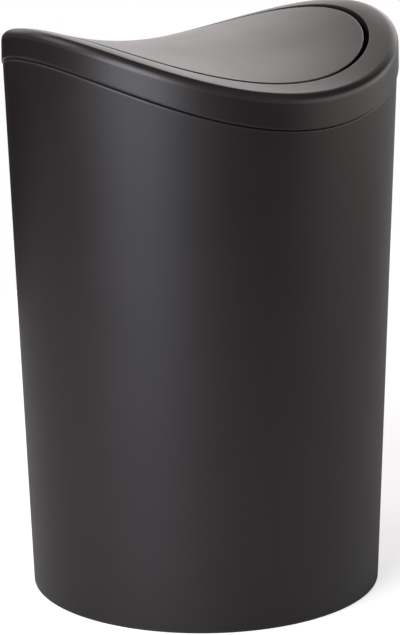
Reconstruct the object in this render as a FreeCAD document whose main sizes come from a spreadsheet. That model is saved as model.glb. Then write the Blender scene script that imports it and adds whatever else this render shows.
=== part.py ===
"""Swing-lid waste bin, in millimetres.

A tapered round bucket carries a lid frame whose top is a saddle: high at +X and -X, low at +Y and -Y.
A round flap with the same saddle swings in the frame about an axis along Y. The axis lies below the
flap, so the bare flap is top heavy, and a steel slug in each of its two ears brings it back to level.

Frame: +Z is up, the origin is the middle of the foot ring, and the flap's axis runs along Y.
"""

import FreeCAD
import Part
import Sketcher
import enum
import math
import os

# Driving dimensions: name, size in millimetres or degrees, and what it measures.
SIZES = [
    # Bucket
    ("base_radius", 86.4, "outside of the side wall, carried down to the ground"),
    ("wall_draft", 1.78, "lean of the side wall, degrees"),
    ("bucket_wall", 2.0, "thickness of the side wall"),
    ("floor_thickness", 2.2, "thickness of the floor"),
    ("foot_depth", 2.6, "height of the foot ring under the floor"),
    ("foot_width", 6.0, "width of the foot ring"),
    ("base_band", 5.5, "height of the drawn-in band at the base"),
    ("base_inset", 0.05, "how far that band draws in at the ground"),
    ("base_round", 0.5, "rounding of the base's outer edge"),
    ("floor_corner", 5.0, "radius inside, between floor and wall"),
    ("rim_height", 251.7, "height of the rim's saddle at the bin's axis"),
    ("rim_round", 0.8, "rounding of the rim's edges"),
    # Saddle
    ("saddle_long_radius", 291.0, "hollow radius along X"),
    ("saddle_cross_radius", 332.0, "crown radius along Y"),
    # Lid frame
    ("frame_height", 16.4, "upright height of the frame's skirt"),
    ("frame_wall", 2.2, "thickness of the frame's plate"),
    ("frame_fall", 1.0, "fall of the frame's outer edge below the flap's saddle"),
    ("frame_round", 3.6, "rounding of the frame's outer top edge"),
    ("skirt_proud", 1.0, "overhang of the skirt outside the bucket at the rim's height on its axis"),
    ("skirt_lean", 1.0, "lean of the skirt towards its top, degrees"),
    ("skirt_inset", 1.8, "inside of the skirt, in from the outside of the bucket"),
    ("ring_width", 13.8, "width of the frame's ring, from the bucket's outside to the opening"),
    ("hole_round", 0.5, "rounding of the opening's top edge"),
    ("lip_wall", 1.8, "thickness of the lip under the opening's edge"),
    ("lip_depth", 3.6, "depth of that lip from the top surface"),
    ("seat_gap", 0.3, "clearance between the skirt and the rim it stands on"),
    ("shadow_gap", 0.8, "height of the groove at the foot of the skirt"),
    ("shadow_inset", 0.7, "floor of that groove, in from the outside of the bucket"),
    ("spigot_inset", 1.4, "channel between the skirt and the spigot"),
    ("spigot_wall", 1.8, "thickness of the spigot"),
    ("spigot_depth", 9.0, "reach of the spigot below the rim"),
    ("channel_roof", 8.0, "depth of that channel's roof below the top surface"),
    ("fit_clearance", 0.35, "clearance of the centring ribs in the bucket"),
    ("rib_width", 2.4, "width of a centring rib"),
    ("rib_drop", 1.5, "depth of a centring rib's top below the rim"),
    ("rib_count", 8, "number of centring ribs"),
    # Flap
    ("flap_gap", 3.4, "gap between the flap and the opening at the raised ends"),
    ("pivot_gap", 1.3, "gap between the flap and the opening at the pivots"),
    ("flap_wall", 2.2, "thickness of the flap"),
    ("flap_round", 0.4, "rounding of the flap's top edge"),
    ("flap_lip_wall", 1.8, "thickness of the flap's edge lip"),
    ("flap_lip_depth", 4.2, "depth of that lip from the top surface"),
    ("stay_depth", 7.5, "depth of the two stays under the flap, from its top"),
    ("stay_wall", 1.8, "thickness of a stay"),
    # Pivot
    ("pivot_drop", 11.47, "depth of the axis below the low points of the opening's edge"),
    ("pin_radius", 2.5, "radius of a pivot pin"),
    ("pin_head", 4.2, "radius of a pin's head"),
    ("pin_head_length", 1.5, "length of a pin's head"),
    ("pin_overrun", 1.0, "length of a pin past its bracket"),
    ("pin_tip", 0.6, "taper at a pin's tip"),
    ("run_clearance", 0.05, "radial clearance of a pin in its bush"),
    ("press_clearance", 0.02, "radial clearance of a pressed piece"),
    ("bush_wall", 1.5, "thickness of a bush"),
    ("bush_flange", 6.2, "radius of a bush's flange"),
    ("bush_flange_length", 1.5, "length of a bush's flange"),
    ("end_play", 0.5, "clearance between a flange and its hub"),
    ("bracket_setback", 0.4, "bracket's inner face, outside the opening's edge"),
    ("bracket_wall", 4.0, "thickness of a bracket"),
    ("bracket_margin", 3.0, "bracket beyond its stop slot"),
    ("gusset_wall", 2.0, "thickness of a bracket's gusset"),
    ("gusset_reach", 6.0, "reach of a gusset below the axis"),
    ("stop_radius", 9.2, "distance of a stop peg from the axis"),
    ("stop_peg", 2.0, "radius of a stop peg"),
    ("stop_reach", 2.6, "length of a stop peg inside its slot"),
    ("stop_clearance", 0.3, "clearance of a stop peg in its slot"),
    ("swing_limit", 75, "swing of the flap to each side, degrees"),
    # Ears and counterweights
    ("ear_setback", 2.8, "ear's outer face, inside the flap's edge"),
    ("ear_wall", 3.0, "thickness of an ear"),
    ("hub_radius", 6.0, "radius of the hub round a pin"),
    ("hub_inside", 6.0, "length of the hub inside the ear"),
    ("weight_drop", 33.0, "distance of a slug from the axis"),
    ("slug_radius", 9.0, "radius of a slug"),
    ("slug_length", 11.0, "length of a slug"),
    ("slug_edge", 0.6, "bevel on a slug's edges"),
    ("slug_clearance", 0.1, "clearance round a slug"),
    ("pocket_wall", 2.4, "wall round a slug's pocket"),
    ("pocket_floor", 1.8, "wall behind a slug"),
    ("cap_margin", 0.6, "cap's plate inside the pocket's outside"),
    ("cap_plate", 1.5, "thickness of a cap's plate"),
    ("cap_plug", 1.5, "length of a cap's plug"),
]

doc = FreeCAD.newDocument("swing_lid_bin")
sheet = doc.addObject("Spreadsheet::Sheet", "dims")
for row, (alias, number, note) in enumerate(SIZES, start=1):
    sheet.set(f"A{row}", alias)
    sheet.set(f"B{row}", str(number))
    sheet.setAlias(f"B{row}", alias)
    sheet.set(f"C{row}", note)
doc.recompute()

def outside(height):
    """Formula for the outside radius of the side wall at a height."""
    return f"(dims.base_radius + {height} * tan(dims.wall_draft))"


def skirt(height):
    """Formula for the outside radius of the lid's skirt, which leans in towards its top."""
    foot = f"({outside('dims.rim_height')} + dims.skirt_proud)"
    return f"({foot} - ({height} - dims.rim_height) * tan(dims.skirt_lean))"


# Places that several pieces share, as formulas on the sheet.
RIM = "dims.rim_height"
TOP = "(dims.rim_height + dims.frame_height)"
SEAT = "(dims.rim_height + dims.seat_gap)"
SPIGOT_FOOT = "(dims.rim_height - dims.spigot_depth)"
FLOOR_TOP = "(dims.foot_depth + dims.floor_thickness)"
# The stock that the lid is cut from reaches past the saddle, which rises by half of the first share.
STOCK_HIGH = f"({TOP} + dims.base_radius ^ 2 / dims.saddle_long_radius)"
STOCK_LOW = f"({SPIGOT_FOOT} - dims.base_radius ^ 2 / dims.saddle_cross_radius)"
HOLE_RADIUS = f"({outside(TOP)} - dims.ring_width)"
FLAP_RADIUS = f"({HOLE_RADIUS} - dims.flap_gap)"
FLAP_SIDE = f"({HOLE_RADIUS} - dims.pivot_gap)"
# The axis lies under the low points of the opening's edge, which the saddle's crown sets.
CROWN_FALL = f"(dims.saddle_cross_radius - sqrt(dims.saddle_cross_radius ^ 2 - {HOLE_RADIUS} ^ 2))"
PIVOT_ROOM = f"({CROWN_FALL} + dims.pivot_drop)"
PIVOT = f"({TOP} - {PIVOT_ROOM})"
SPIGOT_OUTER = "(dims.skirt_inset + dims.spigot_inset)"
SPIGOT_MIDDLE = f"({SPIGOT_OUTER} + dims.spigot_wall / 2)"
SPIGOT_INNER = f"({SPIGOT_OUTER} + dims.spigot_wall)"

# Bends of the saddle that the flap and the rim share, and of the frame's own, which meets the flap at
# the opening and from there falls away to the outside.
FLAP_BENDS = ("dims.saddle_long_radius", "dims.saddle_cross_radius")
FALL_BEND = f"(4 * dims.frame_fall / ({outside(TOP)} ^ 2 - {HOLE_RADIUS} ^ 2))"
FRAME_BENDS = (
    f"(1 / (1 / dims.saddle_long_radius - {FALL_BEND} / 2))",
    f"(1 / (1 / dims.saddle_cross_radius + {FALL_BEND} / 2))",
)
FRAME_TOP = f"({TOP} + {FALL_BEND} * {HOLE_RADIUS} ^ 2 / 4)"
# Stock outside the skirt, for cuts that come in from there.
SKIRT_CLEAR = "(-dims.frame_wall - dims.skirt_proud)"

# Stations along the pivot axis, measured outwards from the bin's axis.
BRACKET_FACE = f"({HOLE_RADIUS} + dims.bracket_setback)"
BRACKET_BACK = f"({BRACKET_FACE} + dims.bracket_wall)"
FLANGE_FACE = f"({BRACKET_FACE} - dims.bush_flange_length)"
HUB_FACE = f"({FLANGE_FACE} - dims.end_play)"
EAR_FACE = f"({FLAP_RADIUS} - dims.ear_setback)"
EAR_BACK = f"({EAR_FACE} - dims.ear_wall)"
HUB_BACK = f"({EAR_BACK} - dims.hub_inside)"
PIN_END = f"({BRACKET_BACK} + dims.pin_overrun)"
PEG_END = f"({BRACKET_FACE} + dims.stop_reach)"
POCKET_END = f"({EAR_FACE} - dims.pocket_floor)"
SLUG_OUTER = f"({POCKET_END} - dims.slug_clearance)"
SLUG_INNER = f"({SLUG_OUTER} - dims.slug_length)"
POCKET_MOUTH = f"({SLUG_INNER} - dims.slug_clearance - dims.cap_plug)"

# Radii and half widths about the pivot axis and about a slug's axis.
BUSH_BORE = "(dims.pin_radius + dims.run_clearance)"
BUSH_OUTER = f"({BUSH_BORE} + dims.bush_wall)"
SLOT_INNER = "(dims.stop_radius - dims.stop_peg - dims.stop_clearance)"
SLOT_OUTER = "(dims.stop_radius + dims.stop_peg + dims.stop_clearance)"
PEG_ANGLE = "asin((dims.stop_peg + dims.stop_clearance) / dims.stop_radius)"
SLOT_ANGLE = f"(2 * (dims.swing_limit * 1 deg + {PEG_ANGLE}))"
BRACKET_HALF = f"({SLOT_OUTER} + dims.bracket_margin)"
POCKET_RADIUS = "(dims.slug_radius + dims.slug_clearance)"
EAR_HALF = f"({POCKET_RADIUS} + dims.pocket_wall)"

# The saddle is swung through this many degrees, well past the bin on both sides.
SADDLE_SWEEP = 120

UPRIGHT = FreeCAD.Rotation()
FACING_X = FreeCAD.Rotation(FreeCAD.Vector(0, 1, 0), 90)
ACROSS = FreeCAD.Rotation(FreeCAD.Vector(1, 0, 0), 90)
QUARTER_TURN = FreeCAD.Rotation(FreeCAD.Vector(0, 0, 1), 90)
HALF_TURN = FreeCAD.Rotation(FreeCAD.Vector(0, 0, 1), 180)
# In the axes of a piece on the pivot, Z points outwards along the pivot axis and Y points up.
SIDES = {"front": ACROSS, "rear": HALF_TURN.multiply(ACROSS)}


def size(alias):
    """The number in the sheet under this alias."""
    return float(sheet.get(alias))


def worth(formula):
    """The number that a formula on the sheet comes to."""
    return float(sheet.evalExpression(formula))


# Part primitives, booleans and fillets.
def primitive(kind, name, turn, low, **formulas):
    """A Part primitive that stands at the height low and whose sizes follow formulas."""
    made = doc.addObject(f"Part::{kind}", name)
    made.Placement = FreeCAD.Placement(FreeCAD.Vector(), turn)
    made.setExpression("Placement.Base.z", low)
    for prop, formula in formulas.items():
        made.setExpression(prop, formula)
    return made


def saddle(name, height, depth="0", bends=FLAP_BENDS):
    """Everything under the saddle: a circle in the YZ plane, swung about an axis along Y above it.

    The bends are its hollow radius along X and its crown radius along Y.
    """
    hollow, crown_radius = bends
    crown = primitive(
        "Circle",
        f"{name}_crown",
        FACING_X,
        f"{height} - {crown_radius}",
        Radius=f"{crown_radius} - {depth}",
    )
    made = doc.addObject("Part::Revolution", name)
    made.Source = crown
    made.Axis = FreeCAD.Vector(0, 1, 0)
    made.setExpression("Base.z", f"{height} + {hollow}")
    made.Angle = SADDLE_SWEEP
    made.Symmetric = True
    made.Solid = True
    return made


def tapered(name, low_radius, high_radius):
    """A tapered round upright through the lid."""
    return primitive(
        "Cone",
        name,
        UPRIGHT,
        STOCK_LOW,
        Radius1=low_radius,
        Radius2=high_radius,
        Height=f"{STOCK_HIGH} - {STOCK_LOW}",
    )


def wall_cone(name, inset):
    """The lid's tapered stock, inset from the outside of the side wall."""
    return tapered(name, f"{outside(STOCK_LOW)} - {inset}", f"{outside(STOCK_HIGH)} - {inset}")


def post(name, radius):
    """A round upright through the lid."""
    return primitive(
        "Cylinder", name, UPRIGHT, STOCK_LOW, Radius=radius, Height=f"{STOCK_HIGH} - {STOCK_LOW}"
    )


def oval_post(name, inset="0"):
    """An upright with the flap's outline, which is longer along the pivot axis, less an inset."""
    outline = primitive(
        "Ellipse",
        f"{name}_outline",
        QUARTER_TURN,
        STOCK_LOW,
        MajorRadius=f"{FLAP_SIDE} - {inset}",
        MinorRadius=f"{FLAP_RADIUS} - {inset}",
    )
    made = doc.addObject("Part::Extrusion", name)
    made.Base = outline
    made.DirMode = "Custom"
    made.Dir = FreeCAD.Vector(0, 0, 1)
    made.Solid = True
    made.setExpression("LengthFwd", f"{STOCK_HIGH} - {STOCK_LOW}")
    return made


def boolean(kind, name, base, tool):
    """One of the two-sided Part booleans: Cut or Common."""
    made = doc.addObject(f"Part::{kind}", name)
    made.Base = base
    made.Tool = tool
    return made


def fuse(name, *shapes):
    """Several solids grown into one."""
    made = doc.addObject("Part::MultiFuse", name)
    made.Shapes = list(shapes)
    made.Refine = True
    return made


def saddle_height(point, height, bends):
    """Height of the saddle surface over or under a point."""
    hollow, crown = bends
    reach = hollow + crown - math.sqrt(crown**2 - point.y**2)
    return height + hollow - math.sqrt(reach**2 - point.x**2)


def rounded(name, base, radius, on_edge):
    """Base with a fillet of this radius on the edges whose every sampled point passes on_edge."""
    doc.recompute()
    samples = 12
    picked = []
    for index, edge in enumerate(base.Shape.Edges, start=1):
        if all(on_edge(point) for point in edge.discretize(Number=samples)):
            picked.append((index, radius, radius))
    made = doc.addObject("Part::Fillet", name)
    made.Base = base
    made.Edges = picked
    return made


def saddle_edge(height, least, most, bends=FLAP_BENDS):
    """A test for points that lie on the saddle, between two distances from the bin's axis."""
    tolerance = 0.1
    level = worth(height)
    radii = [worth(bend) for bend in bends]

    def on_edge(point):
        reach = math.hypot(point.x, point.y)
        return least < reach < most and abs(point.z - saddle_height(point, level, radii)) < tolerance

    return on_edge


def ring_edge(radius, height):
    """A test for points on the level circle of that radius at that height."""
    tolerance = 0.1

    def on_edge(point):
        reach = math.hypot(point.x, point.y)
        return abs(reach - radius) < tolerance and abs(point.z - height) < tolerance

    return on_edge


# PartDesign bodies and their sketches.
class SketchAxis(enum.IntEnum):
    """A sketch's own axes, by their curve numbers."""

    X = -1
    Y = -2


class CurvePoint(enum.IntEnum):
    """The points of a curve that a constraint can hold."""

    START = 1
    END = 2
    CENTRE = 3


ORIGIN = (SketchAxis.X, CurvePoint.START)


def new_body(name, turn=UPRIGHT, height="0"):
    """An empty body, turned and then raised to a height on the bin's axis."""
    made = doc.addObject("PartDesign::Body", name)
    made.Placement = FreeCAD.Placement(FreeCAD.Vector(), turn)
    made.setExpression("Placement.Base.z", height)
    return made


def new_sketch(body, name, role, station="0"):
    """A sketch on one of the body's origin planes, moved along the plane's normal to a station."""
    made = body.newObject("Sketcher::SketchObject", name)
    plane = next(feature for feature in body.Origin.OriginFeatures if feature.Role == role)
    made.AttachmentSupport = [(plane, "")]
    made.MapMode = "FlatFace"
    made.setExpression("AttachmentOffset.Base.z", station)
    return made


def limit(sketch, *words, formula=None):
    """A sketch constraint, with its size bound to a formula if it has one."""
    start_value = [1.0] if formula else []
    index = sketch.addConstraint(Sketcher.Constraint(*words, *start_value))
    if formula:
        sketch.setExpression(f"Constraints[{index}]", formula)


def hold(sketch, curve, end, x, y):
    """Holds one point of a curve at two formulas; the formula 0 puts it on that axis."""
    for kind, axis, formula in (("DistanceX", SketchAxis.Y, x), ("DistanceY", SketchAxis.X, y)):
        if formula == "0":
            limit(sketch, "PointOnObject", curve, end, axis)
        else:
            limit(sketch, kind, *ORIGIN, curve, end, formula=formula)


def polygon(sketch, corners):
    """A closed outline of straight lines through corners, each a pair of formulas."""
    first = sketch.GeometryCount
    count = len(corners)
    start = [FreeCAD.Vector(i, i * i, 0) for i in range(count)]
    for i in range(count):
        sketch.addGeometry(Part.LineSegment(start[i], start[(i + 1) % count]))
    for i, (x, y) in enumerate(corners):
        following = first + (i + 1) % count
        limit(sketch, "Coincident", first + i, CurvePoint.END, following, CurvePoint.START)
        hold(sketch, first + i, CurvePoint.START, x, y)


def rectangle(sketch, left, bottom, right, top):
    polygon(sketch, [(left, bottom), (right, bottom), (right, top), (left, top)])


def circle(sketch, radius, x="0", y="0"):
    index = sketch.addGeometry(Part.Circle(FreeCAD.Vector(1, 1, 0), FreeCAD.Vector(0, 0, 1), 1))
    limit(sketch, "Radius", index, formula=radius)
    hold(sketch, index, CurvePoint.CENTRE, x, y)


def pad(body, name, profile, length):
    """Material from the sketch along its normal."""
    made = body.newObject("PartDesign::Pad", name)
    made.Profile = profile
    made.setExpression("Length", length)
    return made


def pocket(body, name, profile, length):
    """A cut from the sketch against its normal."""
    made = body.newObject("PartDesign::Pocket", name)
    made.Profile = profile
    made.setExpression("Length", length)
    return made


def round_pad(body, name, radius, low, high, y="0"):
    """A round boss between two stations."""
    sketch = new_sketch(body, f"{name}_outline", "XY_Plane", low)
    circle(sketch, radius, y=y)
    return pad(body, name, sketch, f"{high} - {low}")


def round_pocket(body, name, radius, low, high, y="0"):
    """A round hole between two stations."""
    sketch = new_sketch(body, f"{name}_outline", "XY_Plane", high)
    circle(sketch, radius, y=y)
    return pocket(body, name, sketch, f"{high} - {low}")


def turned(name, corners, turn=UPRIGHT, height="0"):
    """A body turned about its own Z axis from an outline of (radius, station) corners."""
    body = new_body(name, turn, height)
    outline = new_sketch(body, f"{name}_outline", "XZ_Plane")
    polygon(outline, corners)
    spin = body.newObject("PartDesign::Revolution", f"{name}_turning")
    spin.Profile = outline
    spin.ReferenceAxis = (outline, ["V_Axis"])
    spin.Angle = 360
    return body


# Bucket: one moulding, with a foot ring, a drawn-in base and a rim cut to the saddle.
def make_bucket():
    foot_outer = "(dims.base_radius - dims.base_inset)"
    foot_inner = f"({foot_outer} - dims.foot_width)"
    shell = turned(
        "bucket_shell",
        [
            ("0", "dims.foot_depth"),
            (foot_inner, "dims.foot_depth"),
            (foot_inner, "0"),
            (foot_outer, "0"),
            (outside("dims.base_band"), "dims.base_band"),
            (outside(STOCK_HIGH), STOCK_HIGH),
            (f"{outside(STOCK_HIGH)} - dims.bucket_wall", STOCK_HIGH),
            (f"{outside(FLOOR_TOP)} - dims.bucket_wall", FLOOR_TOP),
            ("0", FLOOR_TOP),
        ],
    )
    lean = math.tan(math.radians(size("wall_draft")))
    floor_top = size("foot_depth") + size("floor_thickness")
    corner = size("base_radius") + floor_top * lean - size("bucket_wall")
    dished = rounded("bucket_dished", shell, size("floor_corner"), ring_edge(corner, floor_top))
    base_edge = ring_edge(size("base_radius") - size("base_inset"), 0)
    based = rounded("bucket_based", dished, size("base_round"), base_edge)
    topped = boolean("Common", "bucket_topped", based, saddle("rim_saddle", RIM))
    on_rim = saddle_edge(RIM, worth(HOLE_RADIUS), math.inf)
    return rounded("bucket_rim", topped, size("rim_round"), on_rim)


# Lid frame: saddle plate with a round opening, a skirt outside, a spigot inside and two brackets.
def make_plate():
    """The lid's outer form with its rounded edge and its opening, solid underneath."""
    hole = worth(HOLE_RADIUS)
    stock = tapered("frame_stock", skirt(STOCK_LOW), skirt(STOCK_HIGH))
    top = saddle("frame_top", FRAME_TOP, bends=FRAME_BENDS)
    block = boolean("Common", "frame_block", stock, top)
    outer_edge = saddle_edge(FRAME_TOP, hole, math.inf, FRAME_BENDS)
    outer = rounded("frame_outer", block, size("frame_round"), outer_edge)
    opened = boolean("Cut", "frame_opened", outer, post("opening", HOLE_RADIUS))
    margin = size("hole_round")
    hole_edge = saddle_edge(FRAME_TOP, hole - margin, hole + margin, FRAME_BENDS)
    return rounded("frame_edged", opened, size("hole_round"), hole_edge)


def ring_room(name, outer, inner, height, depth="0", bends=FLAP_BENDS):
    """Room for a cut: the ring between two upright stocks, up to a saddle."""
    ring = boolean("Cut", f"{name}_ring", outer, inner)
    return boolean("Common", name, ring, saddle(f"{name}_top", height, depth, bends))


def make_walls(plate):
    """The plate hollowed from below into a skirt, a spigot and a lip, each cut to its own depth."""
    lip_radius = f"({HOLE_RADIUS} + dims.lip_wall)"
    channel_middle = "(dims.skirt_inset + dims.spigot_inset / 2)"
    trench_middle = f"({lip_radius} + {outside(PIVOT)} - {SPIGOT_INNER}) / 2"
    rooms = [
        ring_room(
            "channel",
            wall_cone("channel_outer", "dims.skirt_inset"),
            wall_cone("channel_inner", SPIGOT_OUTER),
            FRAME_TOP,
            "dims.channel_roof",
            FRAME_BENDS,
        ),
        ring_room(
            "trench",
            wall_cone("trench_outer", SPIGOT_INNER),
            post("trench_inner", lip_radius),
            FRAME_TOP,
            "dims.frame_wall",
            FRAME_BENDS,
        ),
        ring_room(
            "lip_room",
            post("lip_room_outer", trench_middle),
            post("lip_room_inner", FLAP_RADIUS),
            FRAME_TOP,
            "dims.lip_depth",
            FRAME_BENDS,
        ),
        ring_room(
            "skirt_room",
            wall_cone("skirt_room_outer", SKIRT_CLEAR),
            wall_cone("skirt_room_inner", channel_middle),
            SEAT,
        ),
        ring_room(
            "groove",
            wall_cone("groove_outer", SKIRT_CLEAR),
            wall_cone("groove_inner", "dims.shadow_inset"),
            f"({SEAT} + dims.shadow_gap)",
        ),
    ]
    for room in rooms:
        plate = boolean("Cut", f"frame_less_{room.Name}", plate, room)
    return plate


def make_ribs():
    """Centring ribs on the outside of the spigot, clear of the bucket's wall."""
    star = new_body("rib_star", height=STOCK_LOW)
    spoke = new_sketch(star, "rib_spoke_outline", "XY_Plane")
    half = "dims.rib_width / 2"
    rectangle(spoke, "0", f"-{half}", outside(STOCK_HIGH), half)
    first = pad(star, "rib_spoke", spoke, f"{STOCK_HIGH} - {STOCK_LOW}")
    spokes = star.newObject("PartDesign::PolarPattern", "rib_spokes")
    spokes.Originals = [first]
    spokes.Axis = (spoke, ["N_Axis"])
    spokes.Angle = 360
    spokes.setExpression("Occurrences", "dims.rib_count")
    star.Tip = spokes
    zone = ring_room(
        "rib_zone",
        wall_cone("rib_outer", "(dims.bucket_wall + dims.fit_clearance)"),
        wall_cone("rib_inner", SPIGOT_MIDDLE),
        "(dims.rim_height - dims.rib_drop)",
    )
    return boolean("Common", "ribs", star, zone)


def make_bracket(side, turn, reach):
    """A plate beside the opening that holds a bush, with a slot that stops the flap's peg."""
    body = new_body(f"bracket_{side}", turn, PIVOT)
    plate = new_sketch(body, f"bracket_{side}_outline", "XY_Plane", BRACKET_FACE)
    rectangle(plate, f"-{BRACKET_HALF}", "0", BRACKET_HALF, PIVOT_ROOM)
    pad(body, f"bracket_{side}_plate", plate, "dims.bracket_wall")
    round_pad(body, f"bracket_{side}_foot", BRACKET_HALF, BRACKET_FACE, BRACKET_BACK)
    gussets = new_sketch(body, f"bracket_{side}_gusset_outline", "XY_Plane", BRACKET_FACE)
    inner = f"({BRACKET_HALF} - dims.gusset_wall)"
    rectangle(gussets, f"-{BRACKET_HALF}", "-dims.gusset_reach", f"-{inner}", PIVOT_ROOM)
    rectangle(gussets, inner, "-dims.gusset_reach", BRACKET_HALF, PIVOT_ROOM)
    pad(body, f"bracket_{side}_gussets", gussets, f"{outside(PIVOT)} - {BRACKET_FACE}")
    seat = f"({BUSH_OUTER} + dims.press_clearance)"
    round_pocket(body, f"bracket_{side}_seat", seat, BRACKET_FACE, BRACKET_BACK)
    slot_outline = new_sketch(body, f"bracket_{side}_slot_outline", "YZ_Plane")
    rectangle(slot_outline, f"-{SLOT_OUTER}", BRACKET_FACE, f"-{SLOT_INNER}", BRACKET_BACK)
    slot = body.newObject("PartDesign::Groove", f"bracket_{side}_slot")
    slot.Profile = slot_outline
    slot.ReferenceAxis = (slot_outline, ["V_Axis"])
    slot.Midplane = True
    slot.setExpression("Angle", SLOT_ANGLE)
    return boolean("Common", f"bracket_{side}_trimmed", body, reach)


def make_lid_frame():
    walls = fuse("frame_ribbed", make_walls(make_plate()), make_ribs())
    footed = boolean("Cut", "frame_footed", walls, saddle("spigot_foot", SPIGOT_FOOT))
    middle = saddle("plate_middle", FRAME_TOP, "dims.frame_wall / 2", FRAME_BENDS)
    reach = boolean("Common", "bracket_reach", wall_cone("bracket_stock", SPIGOT_MIDDLE), middle)
    brackets = [make_bracket(side, turn, reach) for side, turn in SIDES.items()]
    return fuse("frame_whole", footed, *brackets)


# Flap: saddle disc with an edge lip, two stays and two ears that carry pins, pegs and slugs.
def make_disc():
    block = boolean("Common", "flap_block", oval_post("flap_post"), saddle("flap_top", TOP))
    edged = rounded("flap_edged", block, size("flap_round"), saddle_edge(TOP, 0, math.inf))
    hollow = boolean(
        "Common",
        "flap_hollow",
        oval_post("flap_hollow_post", "dims.flap_lip_wall"),
        saddle("flap_underside", TOP, "dims.flap_wall"),
    )
    hulled = boolean("Cut", "flap_hulled", edged, hollow)
    return boolean("Cut", "flap_disc", hulled, saddle("flap_lip_foot", TOP, "dims.flap_lip_depth"))


def make_stays(middle):
    """Two upright ribs under the flap, from ear to ear."""
    body = new_body("stay_walls", height=STOCK_LOW)
    plan = new_sketch(body, "stay_plan", "XY_Plane")
    inner = f"({EAR_HALF} - dims.stay_wall)"
    rectangle(plan, f"-{EAR_HALF}", f"-{EAR_FACE}", f"-{inner}", EAR_FACE)
    rectangle(plan, inner, f"-{EAR_FACE}", EAR_HALF, EAR_FACE)
    pad(body, "stay_upright", plan, f"{STOCK_HIGH} - {STOCK_LOW}")
    topped = boolean("Common", "stays_topped", body, middle)
    return boolean("Cut", "stays", topped, saddle("stay_foot", TOP, "dims.stay_depth"))


def make_ear(side, turn, middle):
    """A hanging plate with the pin's hub, the stop peg and the slug's pocket."""
    body = new_body(f"ear_{side}", turn, PIVOT)
    web = new_sketch(body, f"ear_{side}_outline", "XY_Plane", EAR_BACK)
    rectangle(web, f"-{EAR_HALF}", "-dims.weight_drop", EAR_HALF, PIVOT_ROOM)
    pad(body, f"ear_{side}_web", web, "dims.ear_wall")
    round_pad(body, f"ear_{side}_hub", "dims.hub_radius", HUB_BACK, HUB_FACE)
    drop = "-dims.weight_drop"
    round_pad(body, f"ear_{side}_case", EAR_HALF, POCKET_MOUTH, EAR_FACE, drop)
    round_pad(body, f"ear_{side}_peg", "dims.stop_peg", EAR_BACK, PEG_END, "-dims.stop_radius")
    bore = "(dims.pin_radius + dims.press_clearance)"
    round_pocket(body, f"ear_{side}_bore", bore, HUB_BACK, HUB_FACE)
    round_pocket(body, f"ear_{side}_pocket", POCKET_RADIUS, POCKET_MOUTH, POCKET_END, drop)
    return boolean("Common", f"ear_{side}_trimmed", body, middle)


def make_swing_flap():
    middle = saddle("flap_middle", TOP, "dims.flap_wall / 2")
    ears = [make_ear(side, turn, middle) for side, turn in SIDES.items()]
    return fuse("flap_whole", make_disc(), make_stays(middle), *ears)


# Small turned pieces, one of each kind on each side.
def make_pin(side, turn):
    """Headed steel pin, pressed through the flap's hub from inside and running in the bush."""
    head_face = f"({HUB_BACK} - dims.pin_head_length)"
    tip_radius = "(dims.pin_radius - dims.pin_tip)"
    corners = [
        ("0", head_face),
        ("dims.pin_head", head_face),
        ("dims.pin_head", HUB_BACK),
        ("dims.pin_radius", HUB_BACK),
        ("dims.pin_radius", f"{PIN_END} - dims.pin_tip"),
        (tip_radius, PIN_END),
        ("0", PIN_END),
    ]
    return turned(f"pin_{side}", corners, turn, PIVOT)


def make_bush(side, turn):
    """Flanged plastic bearing, pressed into the bracket from inside."""
    corners = [
        (BUSH_BORE, FLANGE_FACE),
        ("dims.bush_flange", FLANGE_FACE),
        ("dims.bush_flange", BRACKET_FACE),
        (BUSH_OUTER, BRACKET_FACE),
        (BUSH_OUTER, BRACKET_BACK),
        (BUSH_BORE, BRACKET_BACK),
    ]
    return turned(f"bush_{side}", corners, turn, PIVOT)


def make_slug(side, turn):
    """Steel slug with bevelled ends, loose in its pocket."""
    bevelled = "(dims.slug_radius - dims.slug_edge)"
    corners = [
        ("0", SLUG_INNER),
        (bevelled, SLUG_INNER),
        ("dims.slug_radius", f"{SLUG_INNER} + dims.slug_edge"),
        ("dims.slug_radius", f"{SLUG_OUTER} - dims.slug_edge"),
        (bevelled, SLUG_OUTER),
        ("0", SLUG_OUTER),
    ]
    return turned(f"slug_{side}", corners, turn, f"{PIVOT} - dims.weight_drop")


def make_cap(side, turn):
    """Plug-in cap that closes a slug's pocket."""
    plate_radius = f"({EAR_HALF} - dims.cap_margin)"
    plug_radius = f"({POCKET_RADIUS} - dims.press_clearance)"
    plate_face = f"({POCKET_MOUTH} - dims.cap_plate)"
    plug_end = f"({POCKET_MOUTH} + dims.cap_plug)"
    corners = [
        ("0", plate_face),
        (plate_radius, plate_face),
        (plate_radius, POCKET_MOUTH),
        (plug_radius, POCKET_MOUTH),
        (plug_radius, plug_end),
        ("0", plug_end),
    ]
    return turned(f"cap_{side}", corners, turn, f"{PIVOT} - dims.weight_drop")


nodes = {"bucket": make_bucket(), "lid_frame": make_lid_frame(), "swing_flap": make_swing_flap()}
for side, turn in SIDES.items():
    nodes[f"pivot_bush_{side}"] = make_bush(side, turn)
    nodes[f"pivot_pin_{side}"] = make_pin(side, turn)
    nodes[f"counterweight_{side}"] = make_slug(side, turn)
    nodes[f"weight_cap_{side}"] = make_cap(side, turn)
for node, made in nodes.items():
    made.Label = node
doc.recompute()

# Every object has to have come out, and every sub-part has to be one sound solid.
for thing in doc.Objects:
    if "Invalid" in thing.State or "Error" in thing.State:
        raise RuntimeError(f"{thing.Name} failed: {thing.State}")
for node, made in nodes.items():
    shape = made.Shape
    if shape.isNull() or not shape.isValid() or len(shape.Solids) != 1:
        raise RuntimeError(f"{node} is not one sound solid")

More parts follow.
